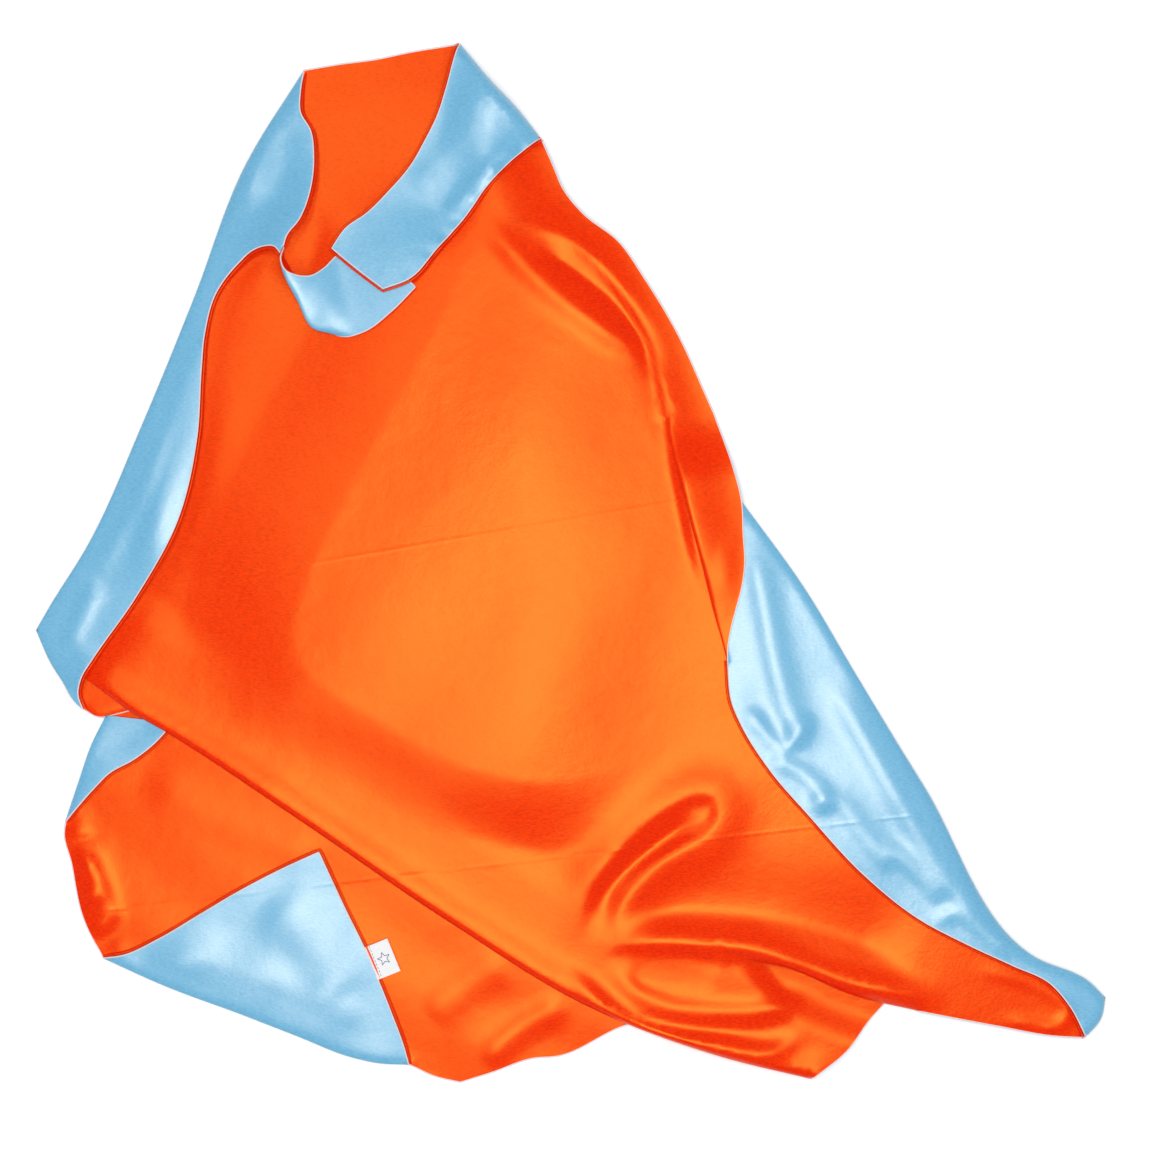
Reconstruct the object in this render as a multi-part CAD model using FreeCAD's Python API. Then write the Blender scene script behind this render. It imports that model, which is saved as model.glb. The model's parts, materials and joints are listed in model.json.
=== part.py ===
import FreeCAD, Part
import math
import os

from FreeCAD import Vector

# Child's reversible satin cape, lying on a flat surface with its collar closed. Millimetres.
# X runs across the cape, Y towards the collar, Z up. The origin is the centre of the footprint.
#
# The cape is two satin panels sewn together round the edge: orange is the inside, blue the outside.
# Where the cape is folded over, its plies lie in levels. Level 0 rests on the surface.

SATIN = 0.5                      # one panel, with half of the air inside the bagged edge
PLY = 2 * SATIN                  # orange and blue together
LEVEL_PITCH = 3.0                # height from one folded ply to the next
PLEAT_DEPTH = 43.0               # how far the body laps over itself at the pleat
CURVE_STEP = 14.0                # spacing of the points along a curved outline

COLLAR_CURL_TOP = 22.0           # the left strap stands on its edge up to here
TAB_CLEARANCE = 1.2              # from a fold line to the cloth each side of it
CORNER_CLEARANCE = 0.8
LABEL_CLEARANCE = 1.0

PATCH_LENGTH = 30.0              # hook and loop patches, across the strap
PATCH_WIDTH = 20.0
PATCH_THICKNESS = 0.6
PATCH_CENTRE = (-129.0, 198.0)
STITCH_INSET = 2.0
THREAD = 0.2

LABEL_LENGTH = 14.0              # from the seam to its free edge
LABEL_WIDTH = 23.0
LABEL_THICKNESS = 0.5
LABEL_STITCH_FROM_ROOT = 1.5
LABEL_STITCH_INSET = 1.0

# Corners of the cape as it lies.
NECK_RIGHT = (-73, 342)
NECK_LEFT = (-176, 325)
LEFT_TUCK = (-345, -32)
LEFT_POINT = (-353, -44)
PLEAT_LEFT = (-320, -97)
PLEAT_RIGHT = (158, -340)
HEM_STEP = (189, -309)
HEM_RIGHT = (206, -291)
TIP_LOW = (339, -313)
TIP_HIGH = (353, -286)
TURN_TOP = (-7, 214)
TURN_BOTTOM = (103, -64)
FOLD_SHOULDER = (112, 41)
STRAP_ROOT = (-20, 280)
CORNER_LEFT = (-308, -260)
CORNER_POINT = (-166, -190)
CORNER_RIGHT = (-105, -332)
HEM_LEFT = (-73, -343)

# Ends of the two straps.
TAB_INNER = (-157, 207)
TAB_OUTER = (-123, 180)
TAB_HINGE_INNER = (-119, 245)
TAB_HINGE_OUTER = (-88, 206)
LABEL_ROOT_TOP = (-136, -252)
LABEL_ROOT_BOTTOM = (-127, -274)

parts = {}


def add(node, *solids):
    """Puts solids in a node."""
    parts.setdefault(node, []).extend(solids)


def curve(*points):
    """Points evenly spaced along the smooth curve through the given ones."""
    spline = Part.BSplineCurve()
    spline.interpolate([Vector(x, y, 0) for x, y in points])
    edge = spline.toShape()
    count = max(3, round(edge.Length / CURVE_STEP))
    return [(p.x, p.y) for p in edge.discretize(Number=count)]


def joined(*lines):
    """One line from several that follow each other, with no point twice."""
    points = []
    for line in lines:
        for point in line:
            if not points or math.dist(point, points[-1]) > 0.01:
                points.append(point)
    return points


def ring(*lines):
    """A closed outline from lines that follow each other, counter-clockwise."""
    points = joined(*lines)
    if math.dist(points[0], points[-1]) < 0.01:
        points.pop()
    return points


def left_normal(a, b):
    """The unit vector to the left of the way from a to b."""
    length = math.dist(a, b)
    return (-(b[1] - a[1]) / length, (b[0] - a[0]) / length)


def unit(a, b):
    """The unit vector from a to b."""
    length = math.dist(a, b)
    return ((b[0] - a[0]) / length, (b[1] - a[1]) / length)


def step_from(point, direction, distance):
    """A point moved along a direction."""
    return (point[0] + direction[0] * distance, point[1] + direction[1] * distance)


def shifted(points, distance, closed=False):
    """The line moved to its left by a distance, mitred at its corners."""
    count = len(points)
    moved = []
    for i, (x, y) in enumerate(points):
        before = points[i - 1] if i > 0 or closed else None
        after = points[(i + 1) % count] if i < count - 1 or closed else None
        normals = []
        if before:
            normals.append(left_normal(before, (x, y)))
        if after:
            normals.append(left_normal((x, y), after))
        nx = sum(n[0] for n in normals)
        ny = sum(n[1] for n in normals)
        scale = distance * len(normals) / (nx * nx + ny * ny)
        moved.append((x + nx * scale, y + ny * scale))
    return moved


def prism(points, low, high):
    """A straight block on a closed outline."""
    corners = [Vector(x, y, low) for x, y in points]
    face = Part.Face(Part.makePolygon(corners + corners[:1]))
    block = face.extrude(Vector(0, 0, high - low))
    if block.Volume < 0:
        block.reverse()
    return block


def strip(line, near, far, low, high):
    """A wall along a line, between two distances to the left of it."""
    return prism(shifted(line, near) + shifted(line, far)[::-1], low, high)


def height(level):
    """The underside of the ply at a level."""
    return level * LEVEL_PITCH


def ply(name, outline, level, face_up):
    """Both panels of one flat ply, drawn in from its outline by the thickness of a fold wall."""
    inner = shifted(outline, SATIN, closed=True)
    low = height(level)
    below = prism(inner, low, low + SATIN)
    above = prism(inner, low + SATIN, low + PLY)
    if face_up == "orange":
        add("blue_" + name, below)
        add("orange_" + name, above)
    else:
        add("orange_" + name, below)
        add("blue_" + name, above)


def fold(line, low_level, high_level, outside):
    """The turn of the cloth between two plies, one panel outside and the other nested in it."""
    inside = "orange" if outside == "blue" else "blue"
    low = height(low_level)
    high = height(high_level)
    add(outside + "_panel", strip(line, 0, SATIN, low, high + PLY))
    add(inside + "_panel", strip(line, SATIN, 2 * SATIN, low + PLY, high))


def seam(node, line, level):
    """The sewn edge of one ply."""
    add(node, strip(line, 0, SATIN, height(level), height(level) + PLY))


# Outlines. Each line keeps the cloth it borders on its left.
back_neck = curve(NECK_RIGHT, (-129, 332), NECK_LEFT)
left_fold = curve(NECK_LEFT, (-215, 261), (-248, 175), (-282, 92), (-318, 12), LEFT_TUCK)
left_bottom = [LEFT_TUCK, LEFT_POINT, (-341, -66), PLEAT_LEFT]
pleat_run = curve((-266, -111), (-181, -167), (-81, -235), (13, -292), (98, -324), PLEAT_RIGHT)
pleat = joined([PLEAT_LEFT], pleat_run)
lap_line = shifted(pleat, PLEAT_DEPTH)[1:-2]
body_hem = curve(HEM_STEP, (197, -299), HEM_RIGHT)
tip_lower = [HEM_RIGHT, (279, -305), TIP_LOW]
tip_end = [TIP_LOW, TIP_HIGH]
right_fold = curve(TIP_HIGH, (305, -259), (232, -146), (188, -74), (154, -17), FOLD_SHOULDER)
shoulder = curve(FOLD_SHOULDER, (96, 95), (67, 157), (31, 212), (-5, 246), STRAP_ROOT)
strap_fold = curve(STRAP_ROOT, (-36, 300), (-53, 318), NECK_RIGHT)
left_neck_edge = curve((-188, 207), (-171, 245), (-169, 267), (-178, 311))


def body():
    """The back of the cape, inside up, from the neckline to the pleat and the tip."""
    lower = joined(left_fold, lap_line, body_hem, tip_lower)
    ply("panel", ring(back_neck, lower, tip_end, right_fold, shoulder, strap_fold), 0, "orange")
    seam("back_neck_seam", back_neck, 0)
    seam("hem_seam", body_hem, 0)


def pleat_band():
    """The strip where the body laps over itself: inside up on top, outside up in the middle."""
    top_line = [HEM_STEP] + shifted(lap_line, SATIN)[::-1]
    ply("panel", ring(left_bottom, pleat, top_line), 2, "orange")
    ply("panel", ring(left_bottom, pleat, [HEM_STEP], lap_line[::-1]), 1, "blue")
    fold(pleat[1:-1], 1, 2, "orange")
    fold(lap_line[::-1], 0, 1, "blue")
    add("blue_panel", strip(lap_line, 0, SATIN, 0, height(2) + PLY))
    add("orange_panel", strip(lap_line, SATIN, 2 * SATIN, PLY, height(2) + PLY))
    seam("hem_seam", [PLEAT_RIGHT, HEM_STEP], 2)


def under_body():
    """The lower left of the cape, inside up, that comes out from under the pleat."""
    side_fold = [(-313, -106), (-321, -130), (-333, -170)]
    side = curve((-333, -170), (-326, -215), CORNER_LEFT)
    hem = curve(HEM_LEFT, (-24, -326), (34, -305), (150, -300))
    ply("panel", ring(side_fold, side, [CORNER_RIGHT], hem, lap_line[::-1]), 0, "orange")
    edge = [(-333, -170), (-314, -148), (-288, -129), (-269, -117)]
    ply("panel", ring(edge, side_fold), 1, "blue")
    fold([(-314, -108), (-321, -130), (-330, -160)], 0, 1, "blue")
    seam("left_side_seam", edge[1:], 1)
    seam("hem_seam", hem[1:], 0)


def left_facing():
    """The left side of the cape, turned in over the body so that the outside shows."""
    side_edge = curve((-290, -27), (-259, 27), (-244, 94), (-241, 151), (-218, 198), (-201, 208), (-189, 204))
    ply("panel", ring(left_fold, side_edge, left_neck_edge), 1, "blue")
    fold(left_fold[1:-1], 0, 1, "blue")
    seam("left_side_seam", side_edge, 1)
    seam("left_strap_seam", left_neck_edge[1:], 1)
    lower_edge = [PLEAT_LEFT, (-323, -79), (-292, -30)]
    ply("panel", ring(left_bottom, lower_edge), 3, "blue")
    seam("left_side_seam", lower_edge[:2], 3)


def left_strap():
    """The left strap: it stands on its edge round the neck, then lies flat with its outside up."""
    curl = left_neck_edge[:-2]
    add("blue_panel", strip(curl, -SATIN, 0, PLY, COLLAR_CURL_TOP))
    add("orange_panel", strip(curl, -2 * SATIN, -SATIN, PLY, COLLAR_CURL_TOP))
    lower = curve((-157, 149), (-139, 151), (-127, 159), (-102, 181))
    upper = [(-102, 181), (-130, 215), (-154, 202), (-171, 188), (-185, 190)]
    bend = [(-185, 190), (-178, 172), (-157, 149)]
    ply("panel", ring(bend, lower, upper), 1, "blue")
    seam("left_strap_seam", lower[:-1], 1)
    seam("left_strap_seam", upper[:3], 1)


def right_strap():
    """The right strap, folded over at the shoulder with its outside up, as far as the closing tab."""
    away = left_normal(TAB_HINGE_OUTER, TAB_HINGE_INNER)
    inner = step_from(TAB_HINGE_INNER, away, -TAB_CLEARANCE)
    outer = step_from(TAB_HINGE_OUTER, away, -TAB_CLEARANCE)
    neck_edge = curve(NECK_RIGHT, (-82, 311), (-95, 279), inner)
    lower_edge = curve(outer, (-68, 229), (-36, 267), STRAP_ROOT)
    ply("panel", ring(strap_fold, neck_edge, [outer], lower_edge), 2, "blue")
    fold(strap_fold[1:-1], 0, 2, "blue")
    seam("right_strap_seam", neck_edge[1:], 2)
    seam("right_strap_seam", lower_edge[:-1], 2)


def right_side():
    """The right side: turned in over the body, and above the shoulder turned back out again."""
    ridge = [TURN_TOP, (48, 163), (73, 79), (88, -7), TURN_BOTTOM]
    side_edge = curve(TURN_BOTTOM, (112, -106), (145, -153), (192, -204), (245, -243), (290, -264), TIP_LOW)
    outer = joined(right_fold, shoulder[:-3])
    ply("panel", ring(tip_end, outer, ridge, side_edge), 1, "blue")
    fold(outer[1:-1], 0, 1, "blue")
    seam("right_side_seam", side_edge, 1)
    turned_run = curve((108, -32), (113, -1), (112, 41), (96, 95), (67, 157), (31, 212), (5, 237))
    turned_edge = [TURN_BOTTOM] + turned_run
    ply("panel", ring(turned_edge, ridge), 2, "orange")
    fold(ridge[1:-1], 1, 2, "orange")
    seam("right_side_seam", turned_edge[1:], 2)


def rectangle(centre, along, length, width):
    """A closed outline of a rectangle whose length lies along a direction."""
    side = (-along[1], along[0])
    corners = []
    for a, b in ((-1, -1), (1, -1), (1, 1), (-1, 1)):
        corner = step_from(centre, along, a * length / 2)
        corners.append(step_from(corner, side, b * width / 2))
    return corners


def stitching(centre, along, low, high):
    """A rectangle of thread just inside a patch's edge."""
    outer = rectangle(centre, along, PATCH_LENGTH - 2 * STITCH_INSET, PATCH_WIDTH - 2 * STITCH_INSET)
    thread = prism(outer, low, high)
    return thread.cut(prism(shifted(outer, 2 * THREAD, closed=True), low - PLY, high + PLY))


def closing_tab():
    """The right strap's end, which peels off the left strap's end."""
    toward = left_normal(TAB_HINGE_OUTER, TAB_HINGE_INNER)
    inner = step_from(TAB_HINGE_INNER, toward, TAB_CLEARANCE)
    outer = step_from(TAB_HINGE_OUTER, toward, TAB_CLEARANCE)
    neck_edge = curve(inner, (-148, 220), TAB_INNER)
    lower_edge = curve(TAB_OUTER, (-105, 187), outer)
    ply("tab", ring(neck_edge, lower_edge), 2, "blue")
    seam("tab_seam", joined(neck_edge, lower_edge)[1:-1], 2)


def patches():
    """The hook patch under the closing tab, and the loop patch on the left strap under it."""
    along = unit(TAB_OUTER, TAB_INNER)
    outline = rectangle(PATCH_CENTRE, along, PATCH_LENGTH, PATCH_WIDTH)
    hook_top = height(2)
    hook_face = hook_top - PATCH_THICKNESS
    add("hook_patch", prism(outline, hook_face, hook_top))
    add("hook_patch_stitching", stitching(PATCH_CENTRE, along, hook_face - THREAD, hook_face))
    loop_bottom = height(1) + PLY
    loop_face = loop_bottom + PATCH_THICKNESS
    add("loop_patch", prism(outline, loop_bottom, loop_face))
    add("loop_patch_stitching", stitching(PATCH_CENTRE, along, loop_face, loop_face + THREAD))


def corner_flap():
    """The lower left corner, folded up over the body so that the outside shows."""
    inward = left_normal(CORNER_LEFT, CORNER_RIGHT)
    start = step_from(CORNER_LEFT, inward, CORNER_CLEARANCE)
    end = step_from(CORNER_RIGHT, inward, CORNER_CLEARANCE)
    right_edge = curve(end, (-127, -274), (-147, -231), CORNER_POINT)
    left_edge = curve(CORNER_POINT, (-217, -215), (-271, -247), start)
    outline = ring(right_edge, left_edge)
    ply("corner", outline, 1, "blue")
    seam("corner_seam", right_edge[1:-1], 1)
    seam("corner_seam", left_edge[1:-1], 1)


def care_label():
    """The folded woven label, caught in the corner's seam."""
    along = unit(LABEL_ROOT_BOTTOM, LABEL_ROOT_TOP)
    outward = (along[1], -along[0])
    root = step_from(LABEL_ROOT_BOTTOM, along, LABEL_WIDTH / 2)
    centre = step_from(root, outward, 2 * LABEL_CLEARANCE + LABEL_LENGTH / 2)
    middle = height(1) + PLY / 2
    face = middle + LABEL_THICKNESS / 2
    outline = rectangle(centre, along, LABEL_WIDTH, LABEL_LENGTH)
    add("care_label", prism(outline, face - LABEL_THICKNESS, face))
    thread_centre = step_from(root, outward, 2 * LABEL_CLEARANCE + LABEL_STITCH_FROM_ROOT)
    thread = rectangle(thread_centre, along, LABEL_WIDTH - 2 * LABEL_STITCH_INSET, 2 * THREAD)
    add("label_stitching", prism(thread, face, face + THREAD))


body()
pleat_band()
under_body()
left_facing()
left_strap()
right_strap()
right_side()
closing_tab()
patches()
corner_flap()
care_label()

os.makedirs("parts", exist_ok=True)
for node, solids in parts.items():
    Part.makeCompound(solids).exportStep("parts/" + node + ".step")
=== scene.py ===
import json
import math

import bmesh
import bpy
import numpy as np
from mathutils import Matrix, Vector
from mathutils.geometry import delaunay_2d_cdt

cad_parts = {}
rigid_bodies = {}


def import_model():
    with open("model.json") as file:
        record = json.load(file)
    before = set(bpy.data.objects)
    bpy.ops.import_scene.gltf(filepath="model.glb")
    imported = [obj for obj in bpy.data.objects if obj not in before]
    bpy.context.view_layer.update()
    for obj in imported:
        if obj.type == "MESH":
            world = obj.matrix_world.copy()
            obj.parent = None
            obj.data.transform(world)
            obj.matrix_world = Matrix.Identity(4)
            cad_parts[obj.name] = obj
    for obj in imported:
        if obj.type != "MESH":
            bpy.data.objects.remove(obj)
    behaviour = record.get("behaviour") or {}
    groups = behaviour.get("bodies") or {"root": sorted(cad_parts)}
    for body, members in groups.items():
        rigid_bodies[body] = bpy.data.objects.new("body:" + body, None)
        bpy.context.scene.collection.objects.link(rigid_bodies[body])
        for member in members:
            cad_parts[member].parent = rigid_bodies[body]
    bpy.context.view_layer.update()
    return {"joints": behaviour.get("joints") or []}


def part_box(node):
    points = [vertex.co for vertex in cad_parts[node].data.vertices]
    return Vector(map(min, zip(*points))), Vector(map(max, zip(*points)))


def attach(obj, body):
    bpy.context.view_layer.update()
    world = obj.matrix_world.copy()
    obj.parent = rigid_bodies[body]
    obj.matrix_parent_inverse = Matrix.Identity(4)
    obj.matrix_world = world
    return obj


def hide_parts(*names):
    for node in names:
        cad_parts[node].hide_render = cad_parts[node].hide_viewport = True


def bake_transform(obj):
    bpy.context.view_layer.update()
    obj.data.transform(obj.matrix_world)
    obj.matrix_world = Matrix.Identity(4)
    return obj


# Child's reversible satin cape, lying on a pale floor with its collar closed.
#
# The cloth is one middle surface. It is made of plies, each drawn from above as a flat outline with a
# height, which roll into their neighbours along fold lines. The orange and the blue panel are thin shells
# on the two sides of that surface. Lines and heights are in millimetres, in the frame of the CAD model.

MM = 0.001

# Camera, floor and light
VIEW_CENTRE = (3.3, -8.25)
VIEW_WIDTH = 760.0
CAMERA_HEIGHT = 1900.0
SENSOR = 36.0
FLOOR_SIZE = 6.0

# Cloth
GRID_STEP = 3.6  # spacing of the cloth's points inside a ply
EDGE_STEP = 2.6  # spacing along outlines
RIDGE_STEP = 8.0  # spacing along the lines of soft ridges
ROLL_ROWS = (0.04, 0.16, 0.36, 0.62, 1.0)  # rows of points beside a fold, in roll radii
EDGE_ROWS = (0.8, 1.9, 3.2)  # rows of points beside a free edge
LYING = 0.7  # the middle surface where the cloth lies on the floor
PLY_GAP = 2.4  # from one ply's middle surface to the next, where they rest
PANEL = 0.32  # one panel's thickness
PANEL_GAP = 0.03  # from the middle surface to a panel
# the pale bead along each seam: its colour is a painted highlight on the seam's rolled edge
SEAM_RADIUS = 0.5
LIP_RADIUS = 0.75  # the orange panel's roll just outside a seam
LIP_OUT = 1.6
LIP_DOWN = 1.0
CORNER_LIP_DOWN = 0.35  # shallower, for the lip along the folded corner

# Heights of the body above LYING, and how it falls
MIDDLE_LOFT = 11.5  # in the middle of the back
RIGHT_LOFT = 3.0  # at the right, under the turned-in side
LEFT_LOFT = 3.4  # at the left
LEFT_FALL = 85.0  # how wide the fall from the middle to the left is
VALLEY_LOFT = 4.8  # beside the pleat's crest, just clear of the plies under it
VALLEY_FALL = 52.0
PLEAT_CREST = 3.4  # of the ridge along the pleat
PLEAT_LAP = 43.0  # how far the hidden plies run on under the pleat
NECK_FALL = 0.75  # the share of its loft the body loses towards the back of the neck
STRIP_LIFT = 1.2  # extra room under the turned-in left side

# Straps and patches
STRAP_WIDTH = 43.0
STRAP_HEIGHT = 3.6  # of the right strap above the body, before its end
TAB_HEIGHT = 5.9  # of the closing tab above the body
STRAP_TILT = 2.8  # the right strap's neck edge above its lower edge
PATCH_THICKNESS = 0.7
PATCH_SIZE = (30.0, 20.0)
PILE_MARGIN = 1.5  # from a patch's edge to its pile
PILE_STEP = 1.3
PILE_REACH = 0.35  # half a pile loop's length, and its height
PILE_SINK = 0.1  # how far its feet go into the tape
PILE_RADIUS = 0.09
STITCH_INSET = 1.2
STITCH_LENGTH = 1.6
STITCH_STEP = 2.4
STITCH_END = 1.5  # no stitch starts nearer than this to the end of its row
STITCH_ARCH = 0.12
STITCH_RADIUS = 0.16
TAB_CUT = 26.0  # from the tab's joint to where its cloth piece starts

# Folded corner and label
CORNER_LOFT = 3.5  # of the folded corner above the cloth under it
CORNER_ROLL = 6.0
CORNER_CUT = 14.0  # how much of the cloth under the fold belongs to the corner's piece
LABEL_SIZE = (14.0, 23.0)
LABEL_TUCK = 2.4  # how much longer the ribbon is, inside the seam
LABEL_INLAND = 10.0  # from its middle to the cloth that gives its height
LABEL_LAYERS = (-0.28, 0.08)  # the undersides of its two layers, from that height
LABEL_FACE = 0.33  # the middle of the thread on its face, from that height
RIBBON_THICKNESS = 0.2
LABEL_STITCHES = 9
LABEL_STITCH_STEP = 2.45
LABEL_STITCH_START = 1.6  # from the label's end to its first stitch
LABEL_STITCH_LINE = -6.0  # from the label's middle to its stitching
STAR_RADII = (4.4, 1.9)
STAR_THREAD = 0.22

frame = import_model()
joints = {j["name"]: j for j in frame["joints"]}
MATERIALS = {}


# ---------------------------------------------------------------- lines

def smooth(points, step=EDGE_STEP):
    """Evenly spaced points on a smooth curve through the given ones."""
    p = np.array(points, float)
    if len(p) == 2:
        count = max(2, round(np.linalg.norm(p[1] - p[0]) / step) + 1)
        return p[0] + (p[1] - p[0]) * np.linspace(0, 1, count)[:, None]
    t = np.concatenate([[0], np.cumsum(np.linalg.norm(np.diff(p, axis=0), axis=1))])
    slope = np.gradient(p, t, axis=0)
    at = np.linspace(0, t[-1], int(t[-1] * 2) + 2)
    k = np.clip(np.searchsorted(t, at, side="right") - 1, 0, len(p) - 2)
    span = (t[k + 1] - t[k])[:, None]
    u = (at - t[k])[:, None] / span
    leave = (1 + 2 * u) * (1 - u) ** 2 * p[k] + u * (1 - u) ** 2 * span * slope[k]
    arrive = u * u * (3 - 2 * u) * p[k + 1] - u * u * (1 - u) * span * slope[k + 1]
    dense = leave + arrive
    arc = np.concatenate([[0], np.cumsum(np.linalg.norm(np.diff(dense, axis=0), axis=1))])
    even = np.linspace(0, arc[-1], max(2, round(arc[-1] / step) + 1))
    return np.column_stack([np.interp(even, arc, dense[:, i]) for i in range(dense.shape[1])])


def joined(*lines):
    """One line from several that follow each other, with no point twice."""
    points = [np.array(lines[0][0], float)]
    for line in lines:
        for point in line:
            if np.linalg.norm(point - points[-1]) > 0.05:
                points.append(np.array(point, float))
    return np.array(points)


def normals_of(line):
    """The unit vector to the left of a line at each of its points."""
    way = np.gradient(line[:, :2], axis=0)
    way /= np.linalg.norm(way, axis=1)[:, None]
    return np.column_stack([-way[:, 1], way[:, 0]])


def shifted(line, distance):
    """A line moved to its left."""
    return line + normals_of(line) * distance


def reach(line, xy):
    """Distance of each point from a line, how far along it the nearest place is (0 to 1), and the side."""
    a = line[:-1]
    way = line[1:] - a
    size = (way ** 2).sum(1)
    distance, along, side = [], [], []
    for block in np.array_split(xy, max(1, len(xy) // 4000)):
        rel = block[:, None, :] - a[None]
        u = np.clip((rel * way).sum(2) / size, 0, 1)
        gap = ((rel - u[..., None] * way) ** 2).sum(2)
        best = gap.argmin(1)
        row = np.arange(len(block))
        distance.append(np.sqrt(gap[row, best]))
        along.append((best + u[row, best]) / len(a))
        cross = way[best, 0] * rel[row, best, 1] - way[best, 1] * rel[row, best, 0]
        side.append(np.where(cross >= 0, 1.0, -1.0))
    return np.concatenate(distance), np.concatenate(along), np.concatenate(side)


def eased(t):
    """0 to 1 with soft ends."""
    t = np.clip(t, 0, 1)
    return t * t * (3 - 2 * t)


def inside(outline, xy):
    """Which points lie in a closed outline."""
    found = np.zeros(len(xy), bool)
    for (x0, y0), (x1, y1) in zip(outline, np.roll(outline, -1, axis=0)):
        if y0 != y1:
            crosses = (xy[:, 1] > y0) != (xy[:, 1] > y1)
            found ^= crosses & (xy[:, 0] < x0 + (xy[:, 1] - y0) * (x1 - x0) / (y1 - y0))
    return found


# ---------------------------------------------------------------- the cape's lines

NECK_RIGHT = (-73, 342)
NECK_LEFT = (-176, 325)
LEFT_POINT = (-352, -44)
LEFT_TUCK = (-333, -80)
RIM_LOW = (-321, -96)
PLEAT_LEFT = (-320, -75)
PLEAT_RIGHT = (158, -339)
HEM_RIGHT = (216, -280)
LAP_HEM = (227, -294)
TIP_LOW = (339, -312)
TIP_HIGH = (352, -286)
SHOULDER_FOLD = (112, 41)
TURN_START = (62, 96)
TURN_EDGE = (94, 99)
TURN_BOTTOM = (103, -64)
STRAP_ROOT = (-20, 280)
NOTCH_NECK = (-188, 207)
NOTCH_SIDE = (-190, 203)
CORNER_LEFT = (-308, -260)
CORNER_POINT = (-166, -190)
CORNER_RIGHT = (-107, -330)
HEM_LEFT = (-73, -342)
SIDE_LOW = (-333, -170)
WAVE_START = (102, -257)
UNDER_TOP = (-306, -100)

back_neck = smooth([NECK_RIGHT, (-105, 337), (-129, 332), (-152, 329), NECK_LEFT])
left_fold = smooth([NECK_LEFT, (-215, 261), (-248, 175), (-282, 92), (-318, 12), (-344, -30), LEFT_POINT])
left_bottom = smooth([LEFT_POINT, (-342, -66), LEFT_TUCK])
strip_tail = smooth([LEFT_TUCK, (-327, -90), RIM_LOW])
pleat = smooth([PLEAT_LEFT, (-305, -86), (-290, -97), (-266, -111), (-181, -167), (-81, -235), (13, -292),
    (98, -324), PLEAT_RIGHT])
lap_line = shifted(smooth([(-300, -112), (-266, -120), (-181, -171), (-81, -239), (13, -294), (98, -325),
    (158, -339)]), PLEAT_LAP)
hem_piece = smooth([PLEAT_RIGHT, (181, -321), (195, -303), HEM_RIGHT])
wave_fold = smooth([WAVE_START, (143, -266), (186, -284), LAP_HEM])
wave_under = smooth([WAVE_START, (140, -260), (180, -270), HEM_RIGHT])
tip_hem = smooth([LAP_HEM, (279, -304), (320, -311), TIP_LOW])
tip_end = smooth([TIP_LOW, (349, -300), TIP_HIGH])
right_fold = smooth([TIP_HIGH, (342, -276), (305, -259), (232, -146), (188, -74), (154, -17), SHOULDER_FOLD])
turn_fold = smooth([SHOULDER_FOLD, (95, 62), (76, 83), TURN_START])
turn_join = smooth([TURN_START, TURN_EDGE])
shoulder = smooth([TURN_EDGE, (67, 157), (48, 188), (31, 212), (8, 230), (-5, 246), (-12, 262), STRAP_ROOT])
strap_fold = smooth([STRAP_ROOT, (-36, 300), (-53, 318), NECK_RIGHT])
turn_contact = smooth([TURN_START, (71, 58), (79, 26), (88, -7), (94, -31), (100, -52), TURN_BOTTOM])
turned_edge = smooth([TURN_BOTTOM, (103, -56), (105, -43), (108, -31), (112, -16), (114, -1), (113, 20),
    SHOULDER_FOLD, (107, 61), TURN_EDGE])
flap_edge = smooth([TURN_BOTTOM, (106, -92), (112, -106), (131, -136), (156, -165), (192, -204),
    (228, -233), (260, -250), (290, -264), (315, -276), (328, -291), TIP_LOW])
left_side = smooth([RIM_LOW, (-324, -87), (-322, -76), (-315, -64), (-286, -22), (-259, 27), (-246, 82),
    (-243, 128), (-241, 151), (-234, 177), (-218, 198), (-210, 205), (-201, 208),
    (-193, 207), NOTCH_SIDE])
left_neck = smooth([NOTCH_NECK, (-186, 214), (-178, 225), (-171, 245), (-169, 267), (-171, 284),
    (-178, 297), (-178, 311), NECK_LEFT])
strap_neck = smooth([NECK_RIGHT, (-76, 333), (-82, 311), (-88, 293), (-95, 279), (-106, 260), (-119, 245),
    (-134, 230), (-148, 220), (-157, 207)])
strap_end = smooth([(-157, 207), (-140, 193), (-123, 180)])
strap_low = smooth([(-123, 180), (-105, 187), (-88, 206), (-68, 229), (-56, 246), (-36, 267), STRAP_ROOT])
under_fold = smooth([UNDER_TOP, (-316, -120), (-324, -143), SIDE_LOW])
under_side = smooth([SIDE_LOW, (-334, -178), (-329, -198), (-326, -215), (-322, -232), (-316, -246),
    CORNER_LEFT])
corner_fold = smooth([CORNER_LEFT, (-268, -278), (-217, -297), (-181, -311), (-145, -325), (-127, -329),
    CORNER_RIGHT])
corner_rest = smooth([CORNER_RIGHT, (-90, -338), HEM_LEFT])
under_hem = smooth([HEM_LEFT, (-54, -336), (-24, -326), (-10, -325), (34, -305), (90, -292), (150, -293)])
under_strip = smooth([SIDE_LOW, (-314, -148), (-304, -138), (-288, -129), (-275, -119), (-262, -105)])
corner_right = smooth([CORNER_RIGHT, (-109, -322), (-119, -294), (-127, -274), (-136, -253), (-147, -231),
    CORNER_POINT])
corner_left = smooth([CORNER_POINT, (-190, -201), (-217, -215), (-244, -231), (-271, -247), (-295, -258),
    CORNER_LEFT])
tuck_rim = smooth([RIM_LOW, (-312, -101), (-299, -99), (-288, -96)])
tuck_inner = smooth([(-288, -96), (-296, -78), (-318, -68), (-330, -74), (-329, -86), RIM_LOW])

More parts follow.
